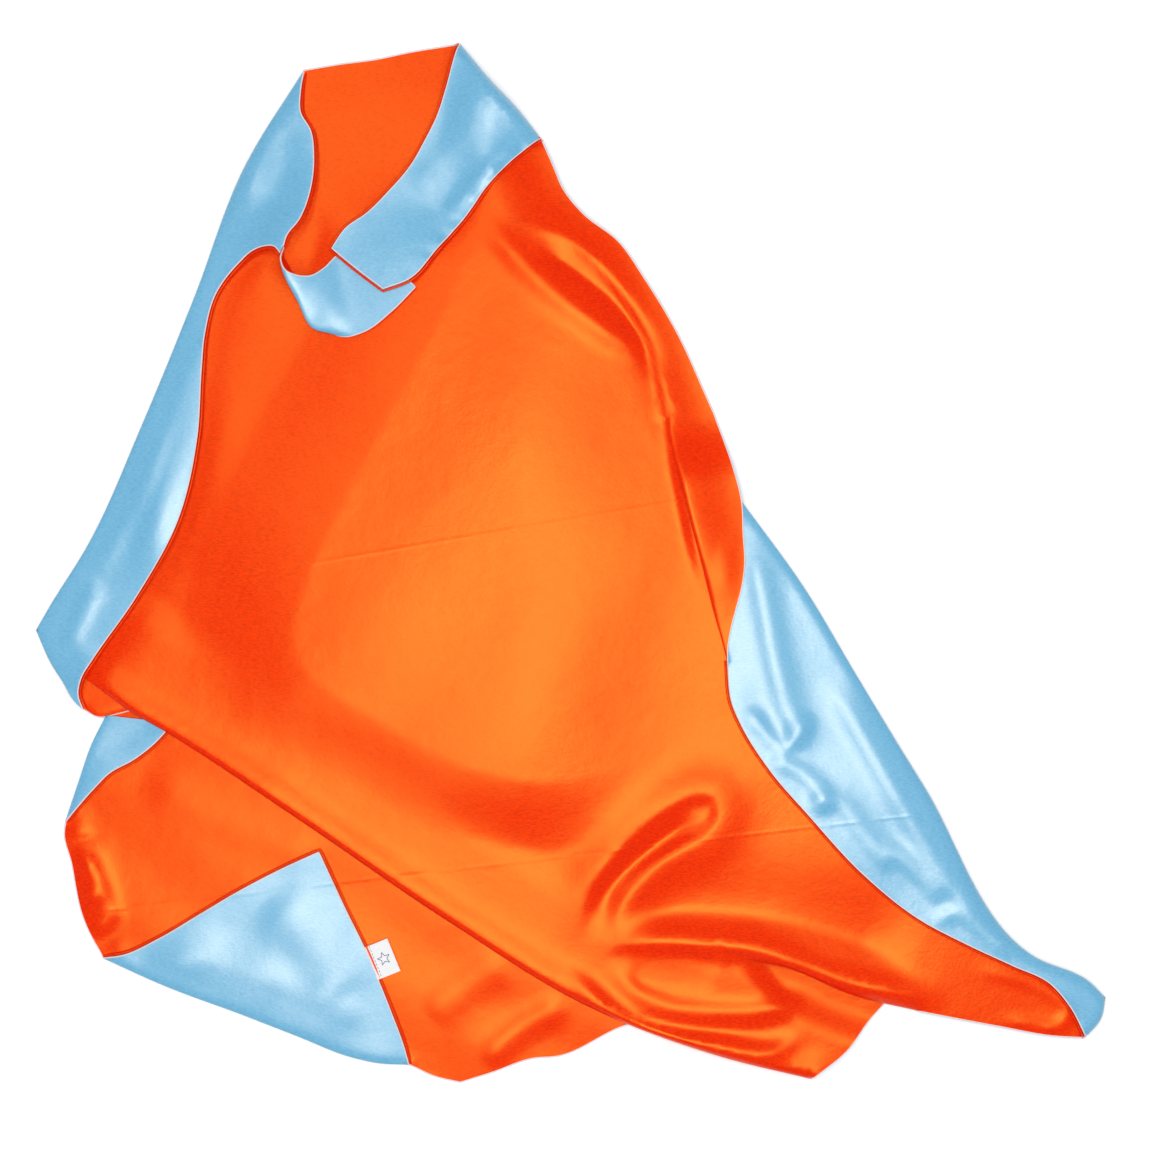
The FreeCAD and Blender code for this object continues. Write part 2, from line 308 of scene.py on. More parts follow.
# Where the cloth changes slope, round the lofted middle of the back
loft_line = smooth([(-25, 330), (-60, 230), (-80, 174), (-113, 108), (-149, 42), (-179, -62), (-113, -110),
    (-60, -136), (-1, -143), (46, -127), (79, -107), (120, -95), (230, -110)])
# The hem's lowest piece is cut from the body along a hidden line, where one fold dies out
hem_cut = smooth([WAVE_START, PLEAT_RIGHT])


# ---------------------------------------------------------------- heights

def ridge(xy, points, width, height, left=1.0, ends=0.2):
    """A soft ridge, or a hollow if height is negative. left is its width on its left, as a share."""
    distance, along, side = reach(smooth(points, RIDGE_STEP), xy)
    spread = np.where(side > 0, width * left, width)
    taper = eased(along / ends) * eased((1 - along) / ends)
    return height * taper * np.exp(-((distance / spread) ** 2))


def mound(xy, centre, size, height):
    """A soft round rise."""
    rel = (xy - np.array(centre, float)) / np.array(size, float)
    return height * np.exp(-(rel ** 2).sum(1))


BODY_WAVES = [
    # points, width, height, width on the left as a share
    ([(-58, 228), (-34, 199), (-7, 174), (26, 151), (49, 138), (58, 128)], 8, 2.2, 1.0),
    ([(-26, 211), (6, 190), (36, 164), (50, 143), (58, 118)], 6, -3.0, 1.0),
    ([(-40, 226), (-20, 220), (-7, 216), (19, 197), (39, 172), (52, 148), (60, 121), (66, 96), (72, 60),
      (80, 20), (92, -30)], 3.6, 3.8, 7.0),
    ([(-3, -256), (5, -237), (13, -212), (26, -195), (45, -175), (66, -159), (84, -151), (96, -154),
      (98, -166), (89, -179), (70, -189), (52, -199), (37, -210), (25, -223), (19, -238), (17, -254)],
      5, 2.4, 3.4),
    ([(14, -248), (24, -222), (44, -197), (66, -178), (85, -166)], 7, -3.2, 1.0),
    ([(30, -232), (60, -226), (100, -226), (145, -232), (190, -246), (230, -262)], 12, -3.0, 2.4),
    ([(14, -262), (27, -252), (50, -250), (71, -250), (93, -252), (114, -254), (136, -260), (157, -269),
      (186, -278), (217, -284), (250, -292)], 5, 4.6, 2.2),
    ([(20, -250), (28, -266), (40, -279), (62, -290), (98, -295), (132, -293), (150, -284), (146, -273),
      (125, -268), (108, -266)], 7, 2.6, 1.0),
    ([(38, -266), (59, -269), (95, -272)], 8, -3.4, 1.0),
    ([(30, -296), (66, -304), (98, -307), (129, -306), (155, -296)], 5, -1.6, 1.0),
    ([(-3, -258), (2, -270), (13, -284), (34, -301), (66, -312), (98, -318), (129, -322), (160, -306)],
      6, 2.4, 1.0),
    ([(262, -266), (290, -272), (312, -281), (328, -296), (322, -304), (300, -302), (276, -298)],
      4, 1.2, 1.0),
]


def higher(a, b, softness=2.0):
    """The higher of two heights, with a soft change from one to the other."""
    return (a + b + np.sqrt((a - b) ** 2 + softness ** 2)) / 2


def body_base(xy):
    """The body without its small folds: lofted in the middle, and lower to each side and by the pleat."""
    middle = MIDDLE_LOFT + (RIGHT_LOFT - MIDDLE_LOFT) * eased((xy[:, 0] + 40) / 135)
    distance, along, side = reach(loft_line, xy)
    places = (0, 0.47, 0.53, 1)
    target = np.interp(along, places, (LEFT_LOFT, LEFT_LOFT, VALLEY_LOFT, VALLEY_LOFT))
    width = np.interp(along, places, (LEFT_FALL, LEFT_FALL, VALLEY_FALL, VALLEY_FALL))
    share = np.where(side < 0, distance, 0) / width
    slope = np.clip(1.15 * share, 0, 1)
    height = middle + (target - middle) * (0.5 * slope + 0.5 * eased(share))
    height += PLEAT_CREST * np.exp(-(((reach(pleat, xy)[0] - 3) / 14) ** 2))
    return height * (1 - NECK_FALL * eased((xy[:, 1] - 195) / 75) * eased((-50 - xy[:, 0]) / 40))


def over_lap(xy):
    """1 where the body lies over the pleat's hidden plies, 0 elsewhere."""
    return eased((74 - reach(pleat, xy)[0]) / 26)


def side_loft(xy):
    """How much of the loft is left near the cape's left fold, 0 to 1."""
    return eased(0.12 + reach(left_fold, xy)[0] / 60)


def body_height(xy):
    """The body of the cape, inside up."""
    height = body_base(xy) + mound(xy, (-176, 212), (16, 28), -4.0)
    for points, width, rise, left in BODY_WAVES:
        height += ridge(xy, points, width, rise, left)
    height += 0.4 * np.sin((xy[:, 0] * 0.8 + xy[:, 1]) / 30)
    height += 0.3 * np.sin((xy[:, 0] - xy[:, 1] * 0.7) / 22)
    height += (higher(height, VALLEY_LOFT) - height) * over_lap(xy)
    height *= side_loft(xy) * (1 - 0.5 * np.exp(-((reach(left_side, xy)[0] / 12) ** 2)))
    for line, left_at_line, width in ((shoulder, 0.45, 45), (back_neck, 0.7, 30), (right_fold, 0.75, 50)):
        height *= left_at_line + (1 - left_at_line) * eased(reach(line, xy)[0] / width)
    return LYING + higher(height, 0, 0.8)


def hem_piece_height(xy):
    """The hem's lowest piece: the body's height along their shared line, low where it goes under the fold."""
    away = eased(reach(hem_cut, xy)[0] / 20) * eased(1.3 - reach(wave_fold, xy)[0] / 26)
    height = body_height(xy)
    return height + (LYING + 0.6 - height) * away


STRIP_WAVES = [
    ([(-205, 225), (-222, 190), (-236, 150), (-250, 100), (-268, 40), (-292, -10)], 7, 1.4, 1.4),
    ([(-240, 165), (-262, 95), (-290, 30), (-320, -20)], 6, 1.2, 1.0),
    ([(-310, -10), (-322, -35), (-332, -58)], 7, 1.6, 1.0),
]


def strip_height(xy):
    """The left side, turned in over the body, with its neck edge standing up towards the strap."""
    height = LYING + PLY_GAP + STRIP_LIFT + body_base(xy) * side_loft(xy)
    for points, width, rise, left in STRIP_WAVES:
        height += ridge(xy, points, width, rise, left)
    height += mound(xy, (-209, 250), (19, 42), 3.4) + mound(xy, (-272, 30), (15, 46), 2.0)
    distance, along, _ = reach(left_neck, xy)
    rise = np.interp(along, [0, 0.25, 0.5, 1], [12.0, 8.0, 4.5, 0.5])
    height += rise * np.exp(-((distance / 17) ** 2))
    tip, _, _ = reach(strip_tail, xy)
    return height * (1 - 0.3 * np.exp(-((tip / 12) ** 2)))


FLAP_WAVES = [
    ([(166, -70), (196, -122), (222, -168), (250, -212), (282, -250)], 7, 2.2),
    ([(118, 20), (126, -24), (134, -66), (145, -104), (160, -132)], 7, 2.0),
    ([(112, -92), (126, -110), (140, -122), (150, -112), (158, -96)], 5, 1.6),
    ([(128, -128), (146, -134), (160, -146), (170, -166)], 5, 1.6),
    ([(152, -160), (172, -156), (190, -176), (206, -196)], 6, 1.5),
    ([(196, -200), (212, -192), (228, -204), (246, -226)], 6, 1.8),
    ([(236, -236), (252, -230), (268, -240), (292, -258)], 5, 1.5),
]


def flap_height(xy):
    """The right side, turned in over the body."""
    start = np.linalg.norm(xy - np.array(TURN_START), axis=1)
    height = body_height(xy) + PLY_GAP * eased(0.05 + start / 90)
    height += 1.2 * eased(1 - reach(flap_edge, xy)[0] / 20) * eased((start - 165) / 40)
    for points, width, rise in FLAP_WAVES:
        height += ridge(xy, points, width, rise, 1.5)
    return height


def turned_height(xy):
    """The right edge, turned back out over the flap."""
    edge, _, _ = reach(turned_edge, xy)
    level = body_height(xy) + 2 * PLY_GAP + 0.5 * np.clip(edge / 24, 0, 1)
    level += mound(xy, (101, -8), (7, 18), 0.7)
    level -= 0.9 * eased((-16 - xy[:, 1]) / 30)
    distance, along, _ = reach(turn_join, xy)
    join = np.interp(along, np.linspace(0, 1, len(turn_join)), body_height(turn_join))
    return join + (level - join) * eased(distance / 48)


def under_height(xy):
    """The lower left of the cape, under the pleat."""
    height = LYING + mound(xy, (-318, -215), (12, 24), 2.4)
    height += ridge(xy, [(-322, -190), (-310, -212), (-300, -240)], 6, 1.6)
    height += ridge(xy, [(-285, -140), (-235, -165), (-160, -200)], 14, 1.4)
    height += ridge(xy, [(-60, -330), (-30, -305), (0, -290)], 9, 1.6)
    height += ridge(xy, [(-95, -300), (-70, -280), (-40, -262)], 12, 1.2)
    height += 0.4 * (1 + np.sin((xy[:, 0] + 1.4 * xy[:, 1]) / 17))
    under, _, beyond = reach(pleat, xy)
    height = LYING + (height - LYING) * eased(1.2 - np.where(beyond > 0, under, 0) / 15)
    fold, _, _ = reach(corner_fold, xy)
    side, along, _ = reach(under_side, xy)
    height += 0.9 * (1 + np.sin(along * 26)) * np.exp(-((side / 9 - 0.8) ** 2))
    return LYING + (height - LYING) * eased(0.1 + fold / 18) * eased(0.25 + side / 16)


def lap_height(xy):
    """The hidden middle ply of the pleat."""
    return under_height(xy) + PLY_GAP


def corner_height(xy):
    """The lower left corner, folded up over the cape."""
    height = under_height(xy) + CORNER_LOFT
    height += ridge(xy, [(-285, -258), (-230, -262), (-170, -285), (-120, -310)], 12, 1.4)
    height += ridge(xy, [(-200, -220), (-175, -250), (-150, -290)], 14, 1.2)
    return height + 0.3 * np.sin((xy[:, 0] - 0.6 * xy[:, 1]) / 9)


def under_strip_height(xy):
    """The side's turned-in edge where it comes out from under the pleat."""
    edge, _, _ = reach(under_strip, xy)
    return under_height(xy) + PLY_GAP + 1.4 * eased(1 - edge / 14)


def tuck_height(xy):
    """The inside of the turned-in side where it runs on under the pleat."""
    return LYING + 0.8 + 0.2 * np.minimum(reach(tuck_rim, xy)[0], 4)


def strap_height(xy):
    """The right strap, folded over the body, with its end on the left strap's end."""
    end, _, _ = reach(strap_end, xy)
    height = body_height(xy) + STRAP_HEIGHT + (TAB_HEIGHT - STRAP_HEIGHT) * eased(1 - (end - 32) / 34)
    low, along, _ = reach(strap_low, xy)
    height += STRAP_TILT * low / STRAP_WIDTH * eased((end - 30) / 40)
    clear = eased((end - 32) / 20)
    height += clear * ridge(xy, [(-62, 318), (-70, 285), (-92, 255), (-106, 240)], 11, 1.8)
    height += clear * ridge(xy, [(-30, 283), (-50, 262), (-70, 240), (-84, 224)], 5, 1.5)
    return height + 0.45 * np.exp(-((low / 7) ** 2)) * np.sin(along * 62) * eased(along * 3)


# ---------------------------------------------------------------- plies

class Fold:
    """A line where a ply turns over or meets another, with the height of the turn along it."""

    def __init__(self, line, radius, *heights):
        """heights are (place along the line from 0 to 1, height) pairs."""
        self.line = line
        self.radius = radius
        self.heights = np.array(heights, float)

    def apply(self, xy, height):
        distance, along, _ = reach(self.line, xy)
        turn = np.interp(along, self.heights[:, 0], self.heights[:, 1])
        share = np.sqrt(1 - (1 - np.clip(distance / self.radius, 0, 1)) ** 2)
        return turn + (height - turn) * share


class Ply:
    """One layer of cloth, seen from above. up is the panel that shows."""

    def __init__(self, lines, up, height, folds=(), edges=()):
        self.outline = joined(*lines)
        if np.linalg.norm(self.outline[0] - self.outline[-1]) < 0.05:
            self.outline = self.outline[:-1]
        self.up = up
        self.height = height
        self.folds = folds
        self.edges = edges

    def z(self, xy):
        height = self.height(xy)
        for fold in self.folds:
            height = fold.apply(xy, height)
        return height

    def points(self):
        """Points inside the outline: rows beside folds and edges, and an even grid."""
        found = []
        closed = np.vstack([self.outline, self.outline[:1]])
        rows = [(f.line, [r * f.radius for r in ROLL_ROWS]) for f in self.folds]
        rows += [(line, EDGE_ROWS) for line in self.edges]
        for line, depths in rows:
            for depth in depths:
                for sign in (-1, 1):
                    row = shifted(line, sign * depth)
                    row = row[inside(self.outline, row)]
                    if len(row):
                        found.append(row[reach(closed, row)[0] > 0.85 * depth])
        low, high = self.outline.min(0), self.outline.max(0)
        ys = np.arange(low[1], high[1], GRID_STEP * math.sqrt(0.75))
        xs = np.arange(low[0], high[0], GRID_STEP)
        grid = np.array([(x + GRID_STEP / 2 * (j % 2), y) for j, y in enumerate(ys) for x in xs])
        grid = grid[inside(self.outline, grid)]
        clear = reach(closed, grid)[0] > 0.6 * GRID_STEP
        for line, depths in rows:
            clear &= reach(line, grid)[0] > depths[-1] + 0.45 * GRID_STEP
        found.append(grid[clear])
        return np.vstack(found)

    def mesh(self):
        """Points in space and triangles, counter-clockwise from above."""
        inner = self.points()
        _, first = np.unique(np.round(inner / 0.35), axis=0, return_index=True)
        xy = np.vstack([self.outline, inner[np.sort(first)]])
        count = len(self.outline)
        rim = [(i, (i + 1) % count) for i in range(count)]
        out = delaunay_2d_cdt([Vector(p) for p in xy], rim, [], 1, 1e-4)
        flat = np.array([tuple(v) for v in out[0]])
        triangles = np.array([f for f in out[2] if len(f) == 3])
        a, b, c = flat[triangles[:, 0]], flat[triangles[:, 1]], flat[triangles[:, 2]]
        turn = (b[:, 0] - a[:, 0]) * (c[:, 1] - a[:, 1]) - (b[:, 1] - a[:, 1]) * (c[:, 0] - a[:, 0])
        triangles[turn < 0] = triangles[turn < 0][:, ::-1]
        return np.column_stack([flat, self.z(flat)]), triangles


def height_at(function, point):
    """The height of a ply at one point."""
    return float(function(np.array([point], float))[0])


turn_level = height_at(body_height, TURN_START)
wave_level = height_at(body_height, WAVE_START)
contact_places = np.linspace(0, 1, 12)
contact_heights = body_height(turn_contact[np.round(contact_places * (len(turn_contact) - 1)).astype(int)])
contact_heights += 1.5 * PLY_GAP * eased(contact_places / 0.25)

fold_left = Fold(left_fold, 10.0, (0, 1.6), (0.1, 2.4), (0.9, 2.8), (1, 2.8))
fold_bottom = Fold(left_bottom, 9.0, (0, 2.8), (1, 4.6))
fold_strap = Fold(strap_fold, 7.0, (0, 2.4), (0.5, 3.2), (1, 2.4))
fold_right = Fold(right_fold, 7.0, (0, 1.8), (0.1, 2.6), (1, 3.2))
fold_turn = Fold(turn_fold, 7.0, (0, 3.2), (0.5, 3.6), (1, turn_level))
fold_contact = Fold(turn_contact, 3.5, *zip(contact_places, contact_heights))
fold_wave = Fold(wave_fold, 8.0, (0, wave_level), (0.4, 5.2), (1, 3.0))
fold_wave_under = Fold(wave_under, 6.0, (0, wave_level), (0.4, 2.6), (1, 1.6))
fold_pleat = Fold(pleat, 4.5, (0, 4.8), (0.9, 5.6), (1, 4.4))
fold_tip = Fold(tip_end, 5.0, (0, 1.5), (1, 1.8))
fold_lap = Fold(lap_line, 5.0, (0, 1.8), (1, 1.8))
fold_under = Fold(under_fold, 5.0, (0, 2.0), (1, 1.9))
fold_corner = Fold(corner_fold, CORNER_ROLL, (0, 2.3), (1, 2.3))

lap_left = smooth([lap_line[0], pleat[0]])
lap_right = smooth([pleat[-1], lap_line[-1]])
under_left = smooth([lap_line[0], UNDER_TOP])
under_right = smooth([under_hem[-1], lap_line[-1]])
strip_back = smooth([under_strip[-1], UNDER_TOP])
body_tuck = smooth([LEFT_TUCK, PLEAT_LEFT])
notch = smooth([NOTCH_SIDE, NOTCH_NECK])

PLIES = {
    "body": Ply([back_neck, left_fold, left_bottom, body_tuck, pleat, hem_cut[::-1], wave_fold, tip_hem,
                 tip_end, right_fold, turn_fold, turn_join, shoulder, strap_fold], "orange", body_height,
                [fold_left, fold_strap, fold_right, fold_turn, fold_wave, fold_pleat, fold_bottom, fold_tip],
                [back_neck, shoulder, tip_hem]),
    "hem_piece": Ply([hem_cut, hem_piece, wave_under[::-1]], "orange", hem_piece_height,
                     [fold_wave_under, fold_pleat], [hem_piece]),
    "flap": Ply([right_fold, turn_fold, turn_contact, flap_edge, tip_end], "blue", flap_height,
                [fold_right, fold_turn, fold_contact, fold_tip], [flap_edge]),
    "turned": Ply([turned_edge, turn_join[::-1], turn_contact], "orange", turned_height,
                  [fold_contact], [turned_edge]),
    "strip": Ply([left_fold, left_bottom, strip_tail, left_side, notch, left_neck], "blue", strip_height,
                 [fold_left, fold_bottom], [left_side, left_neck, strip_tail]),
    "tuck": Ply([tuck_rim, tuck_inner], "orange", tuck_height, (), [tuck_rim]),
    "lap": Ply([pleat, lap_right, lap_line[::-1], lap_left], "blue", lap_height, [fold_pleat, fold_lap]),
    "under": Ply([under_fold, under_side, corner_fold, corner_rest, under_hem, under_right, lap_line[::-1],
                  under_left], "orange", under_height,
                 [fold_lap, fold_under, fold_corner], [under_side, corner_rest, under_hem]),
    "under_strip": Ply([under_fold, under_strip, strip_back], "blue", under_strip_height,
                       [fold_under], [under_strip]),
    "corner": Ply([corner_fold, corner_right, corner_left], "blue", corner_height, [fold_corner],
                  [corner_right, corner_left]),
    "strap": Ply([strap_fold, strap_neck, strap_end, strap_low], "blue", strap_height, [fold_strap],
                 [strap_neck, strap_end, strap_low]),
}

# The left strap stands on its edge round the neck, then lies down with its outside up. These three lines
# run along its neck edge, its middle and its lower edge, with heights above the body.
STRAP_TOP = [(-188, 207, 13), (-190, 200, 14), (-187, 192, 14), (-181, 189, 12.5), (-171, 188.5, 9.5),
    (-162, 194, 6), (-154, 202, 3.6), (-142, 208, 3.2), (-130, 215, 3.2)]
STRAP_MIDDLE = [(-189, 205, 7), (-189.5, 197, 8.5), (-186, 186, 9), (-179, 172, 8.2), (-171, 159, 6.8),
    (-160, 164, 6.5), (-146, 175, 3.6), (-131, 184, 3.2), (-117, 198, 3.2)]
STRAP_LOW = [(-190, 203, 1.6), (-186, 196, 2), (-179, 184, 1.6), (-170, 168, 1.2), (-160, 153, 1.2),
    (-149, 149, 1.6), (-136, 152, 2.4), (-118, 165, 3.0), (-102, 181, 3.2)]
STRAP_ROWS = 15


def left_strap_grid():
    """Points on the left strap: rows from its neck edge to its lower edge, each as long as the strap."""
    rows = [smooth(line, 1.0) for line in (STRAP_TOP, STRAP_MIDDLE, STRAP_LOW)]
    even = np.linspace(0, 1, max(len(r) for r in rows))
    top, middle, low = (
        np.column_stack([np.interp(even, np.linspace(0, 1, len(r)), r[:, i]) for i in range(3)]) for r in rows
    )
    grid = []
    for t in np.linspace(0, 1, STRAP_ROWS):
        grid.append((1 - t) * (1 - 2 * t) * top + 4 * t * (1 - t) * middle + t * (2 * t - 1) * low)
    grid = np.array(grid)
    grid[..., 2] += body_height(grid[..., :2].reshape(-1, 2)).reshape(grid.shape[:2])
    return grid


left_strap = left_strap_grid()


def left_strap_height(xy):
    """The left strap's height near its end, where it lies flat."""
    flat = left_strap.reshape(-1, 3)
    distance = np.linalg.norm(xy[:, None, :] - flat[None, :, :2], axis=2)
    weight = np.exp(-((distance / 3.0) ** 2)) + 1e-9
    return (weight * flat[:, 2]).sum(1) / weight.sum(1)


def left_strap_mesh():
    """The left strap as points and triangles, counter-clockwise from above."""
    count = left_strap.shape[1]
    faces = []
    for j in range(STRAP_ROWS - 1):
        for i in range(count - 1):
            a = j * count + i
            faces.append((a, a + count + 1, a + 1))
            faces.append((a, a + count, a + count + 1))
    return left_strap.reshape(-1, 3), np.array(faces)


# ---------------------------------------------------------------- the middle surface

def middle_surface():
    """All plies as one welded surface that faces the orange panel: points, normals, triangles, ply names."""
    points, faces, owner = [], [], []
    start = 0
    names = list(PLIES) + ["left_strap"]
    for k, name in enumerate(names):
        if name == "left_strap":
            xyz, triangles = left_strap_mesh()
            up = "blue"
        else:
            xyz, triangles = PLIES[name].mesh()
            up = PLIES[name].up
        if up == "blue":
            triangles = triangles[:, ::-1]
        points.append(xyz)
        faces.append(triangles + start)
        owner.append(np.full(len(triangles), k, np.int32))
        start += len(xyz)
    mesh = bpy.data.meshes.new("middle")
    mesh.from_pydata((np.vstack(points) * MM).tolist(), [], np.vstack(faces).tolist())
    mesh.attributes.new("ply", "INT", "FACE").data.foreach_set("value", np.concatenate(owner))
    bm = bmesh.new()
    bm.from_mesh(mesh)
    bmesh.ops.remove_doubles(bm, verts=bm.verts, dist=0.02 * MM)
    bmesh.ops.dissolve_degenerate(bm, dist=0.001 * MM, edges=bm.edges)
    bmesh.ops.triangulate(bm, faces=bm.faces)
    bm.to_mesh(mesh)
    bm.free()
    xyz = np.zeros(len(mesh.vertices) * 3)
    mesh.vertices.foreach_get("co", xyz)
    normal = np.zeros(len(mesh.vertices) * 3, np.float32)
    mesh.vertex_normals.foreach_get("vector", normal)
    tri = np.zeros(len(mesh.loops), np.int32)
    mesh.loops.foreach_get("vertex_index", tri)
    ply = np.zeros(len(mesh.polygons), np.int32)
    mesh.attributes["ply"].data.foreach_get("value", ply)
    return xyz.reshape(-1, 3), normal.reshape(-1, 3).astype(float), tri.reshape(-1, 3), np.array(names)[ply]


# ---------------------------------------------------------------- meshes

class Build:
    """Gathers the points, faces and normals of one mesh."""

    def __init__(self):
        self.points, self.faces, self.normals = [], [], []
        self.count = 0

    def add(self, points, faces, normals):
        """points in metres, faces as lists of indices, and one normal for each corner of each face."""
        self.faces += [[i + self.count for i in f] for f in faces]
        self.points.append(points)
        self.normals.append(normals)
        self.count += len(points)

    def tube(self, path, radius, sides=8):
        """A round closed tube along points in space."""
        way = np.gradient(path, axis=0)
        way /= np.linalg.norm(way, axis=1)[:, None]
        side = np.cross(way, (0, 0, 1))
        side /= np.linalg.norm(side, axis=1)[:, None]
        up = np.cross(side, way)
        turn = np.arange(sides) * 2 * math.pi / sides
        out = np.cos(turn)[None, :, None] * side[:, None, :] + np.sin(turn)[None, :, None] * up[:, None, :]
        points = (path[:, None, :] + out * radius).reshape(-1, 3)
        faces = []
        for i in range(len(path) - 1):
            for k in range(sides):
                a, b = i * sides + k, i * sides + (k + 1) % sides
                faces.append([a, a + sides, b + sides, b])
        last = (len(path) - 1) * sides
        normals = out.reshape(-1, 3)[np.array(faces)].reshape(-1, 3)
        caps = [list(range(sides)), [last + k for k in range(sides)][::-1]]
        ends = np.vstack([np.tile(-way[0], (sides, 1)), np.tile(way[-1], (sides, 1))])
        self.add(points, faces + caps, np.vstack([normals, ends]))

    def make(self, name, material):
        """The mesh object."""
        mesh = bpy.data.meshes.new(name)
        points = np.vstack(self.points)
        mesh.from_pydata(points.tolist(), [], self.faces)
        mesh.polygons.foreach_set("use_smooth", np.ones(len(mesh.polygons), bool))
        mesh.normals_split_custom_set(np.vstack(self.normals).tolist())
        corners = np.concatenate(self.faces)
        flat = points[corners, :2].astype(np.float32).ravel()
        mesh.uv_layers.new(name="thread").data.foreach_set("uv", flat)
        mesh.materials.append(MATERIALS[material])
        piece = bpy.data.objects.new(name, mesh)
        bpy.context.scene.collection.objects.link(piece)
        return piece


def add_panel(build, chosen, side):
    """One panel of the chosen triangles: a closed shell. side is 1 for orange and -1 for blue."""
    used, tri = np.unique(surface_tri[chosen], return_inverse=True)
    tri = tri.reshape(-1, 3)
    points, normal = surface_xyz[used], surface_normal[used] * side
    outer = points + normal * (PANEL + PANEL_GAP) * MM
    inner = points + normal * PANEL_GAP * MM
    top = tri if side > 0 else tri[:, ::-1]
    count = len(points)
    edges = np.vstack([top[:, [0, 1]], top[:, [1, 2]], top[:, [2, 0]]])
    _, index, times = np.unique(edges.min(1) * count + edges.max(1), return_index=True, return_counts=True)
    a, b = edges[index[times == 1]].T
    walls = np.column_stack([b, a, a + count, b + count])
    out = np.cross(points[b] - points[a], normal[a])
    out /= np.linalg.norm(out, axis=1)[:, None] + 1e-12
    back = top[:, ::-1]
    normals = np.vstack([normal[top].reshape(-1, 3), -normal[back].reshape(-1, 3), np.repeat(out, 4, axis=0)])
    build.add(np.vstack([outer, inner]), top.tolist() + (back + count).tolist() + walls.tolist(), normals)


def in_space(line, z):
    """A flat line raised to heights, in metres."""
    return np.column_stack([line, z]) * MM


def edge_path(ply, line, out=0.0, down=0.0):
    """A ply's edge in space. out moves it to the line's right, away from the cloth."""
    moved = shifted(line, -out) if out else line
    return in_space(moved, PLIES[ply].z(line) - down)


# ---------------------------------------------------------------- materials

def new_material(name, color, roughness):
    """A principled material. Values that are the same all over sit on the shader itself."""
    material = bpy.data.materials.new(name)
    material.use_nodes = True
    shader = material.node_tree.nodes["Principled BSDF"]
    shader.inputs["Base Color"].default_value = (*color, 1)
    shader.inputs["Roughness"].default_value = roughness
    MATERIALS[name] = material
    return material.node_tree, shader


def node(tree, kind, **values):
    """A shader node with its sockets set by name."""
    made = tree.nodes.new(kind)
    for key, value in values.items():
        made.inputs[key.replace("_", " ")].default_value = value
    return made


def noise(tree, place, scale, detail):
    """A noise over the object's own coordinates."""
    made = node(tree, "ShaderNodeTexNoise", Scale=scale, Detail=detail)
    tree.links.new(place, made.inputs["Vector"])
    return made.outputs["Fac"]


def bumped(tree, height, strength, distance, before=None):
    """A bump, over an earlier one if there is one."""
    made = node(tree, "ShaderNodeBump", Strength=strength, Distance=distance)
    tree.links.new(height, made.inputs["Height"])
    if before:
        tree.links.new(before, made.inputs["Normal"])
    return made.outputs["Normal"]


def ramp(tree, factor, dark, light, low=0.25, high=0.8):
    """A colour between two, by a factor."""
    made = tree.nodes.new("ShaderNodeValToRGB")
    made.color_ramp.elements[0].position = low
    made.color_ramp.elements[0].color = (*dark, 1)
    made.color_ramp.elements[1].position = high
    made.color_ramp.elements[1].color = (*light, 1)
    tree.links.new(factor, made.inputs["Fac"])
    return made.outputs["Color"]


def calculated(tree, operation, *inputs):
    """A math node's result. Each input is a number or another node's output."""
    made = tree.nodes.new("ShaderNodeMath")
    made.operation = operation
    for socket, value in zip(made.inputs, inputs):
        if isinstance(value, float):
            socket.default_value = value
        else:
            tree.links.new(value, socket)
    return made.outputs[0]


def crease(tree, place, patches, across, distance, before):
    """A faint packing crease that comes and goes, where the place measured across it is at a distance."""
    reached = tree.nodes.new("ShaderNodeVectorMath")
    reached.operation = "DOT_PRODUCT"
    reached.inputs[1].default_value = (*across, 0)
    tree.links.new(place, reached.inputs[0])
    away = calculated(tree, "ABSOLUTE", calculated(tree, "SUBTRACT", reached.outputs["Value"], distance))
    rise = node(tree, "ShaderNodeMapRange", From_Min=0.0, From_Max=CREASE_WIDTH, To_Min=1.0, To_Max=0.0)
    tree.links.new(away, rise.inputs["Value"])
    shown = calculated(tree, "MULTIPLY", rise.outputs[0], patches)
    return bumped(tree, shown, 0.6, 0.0003, before)


# The packing creases: the direction across each, and its distance from the frame's origin, in metres
CREASES = [((-0.169, 0.986), 0.0286), ((-0.118, 0.993), -0.1908)]
CREASE_WIDTH = 0.002
# The satin's bumps after its weave, from fine to broad: noise scale and detail, strength, depth in metres
SATIN_BUMPS = [(520.0, 2.0, 0.35, 0.0002), (110.0, 3.0, 0.12, 0.0008), (34.0, 4.0, 0.20, 0.0020)]


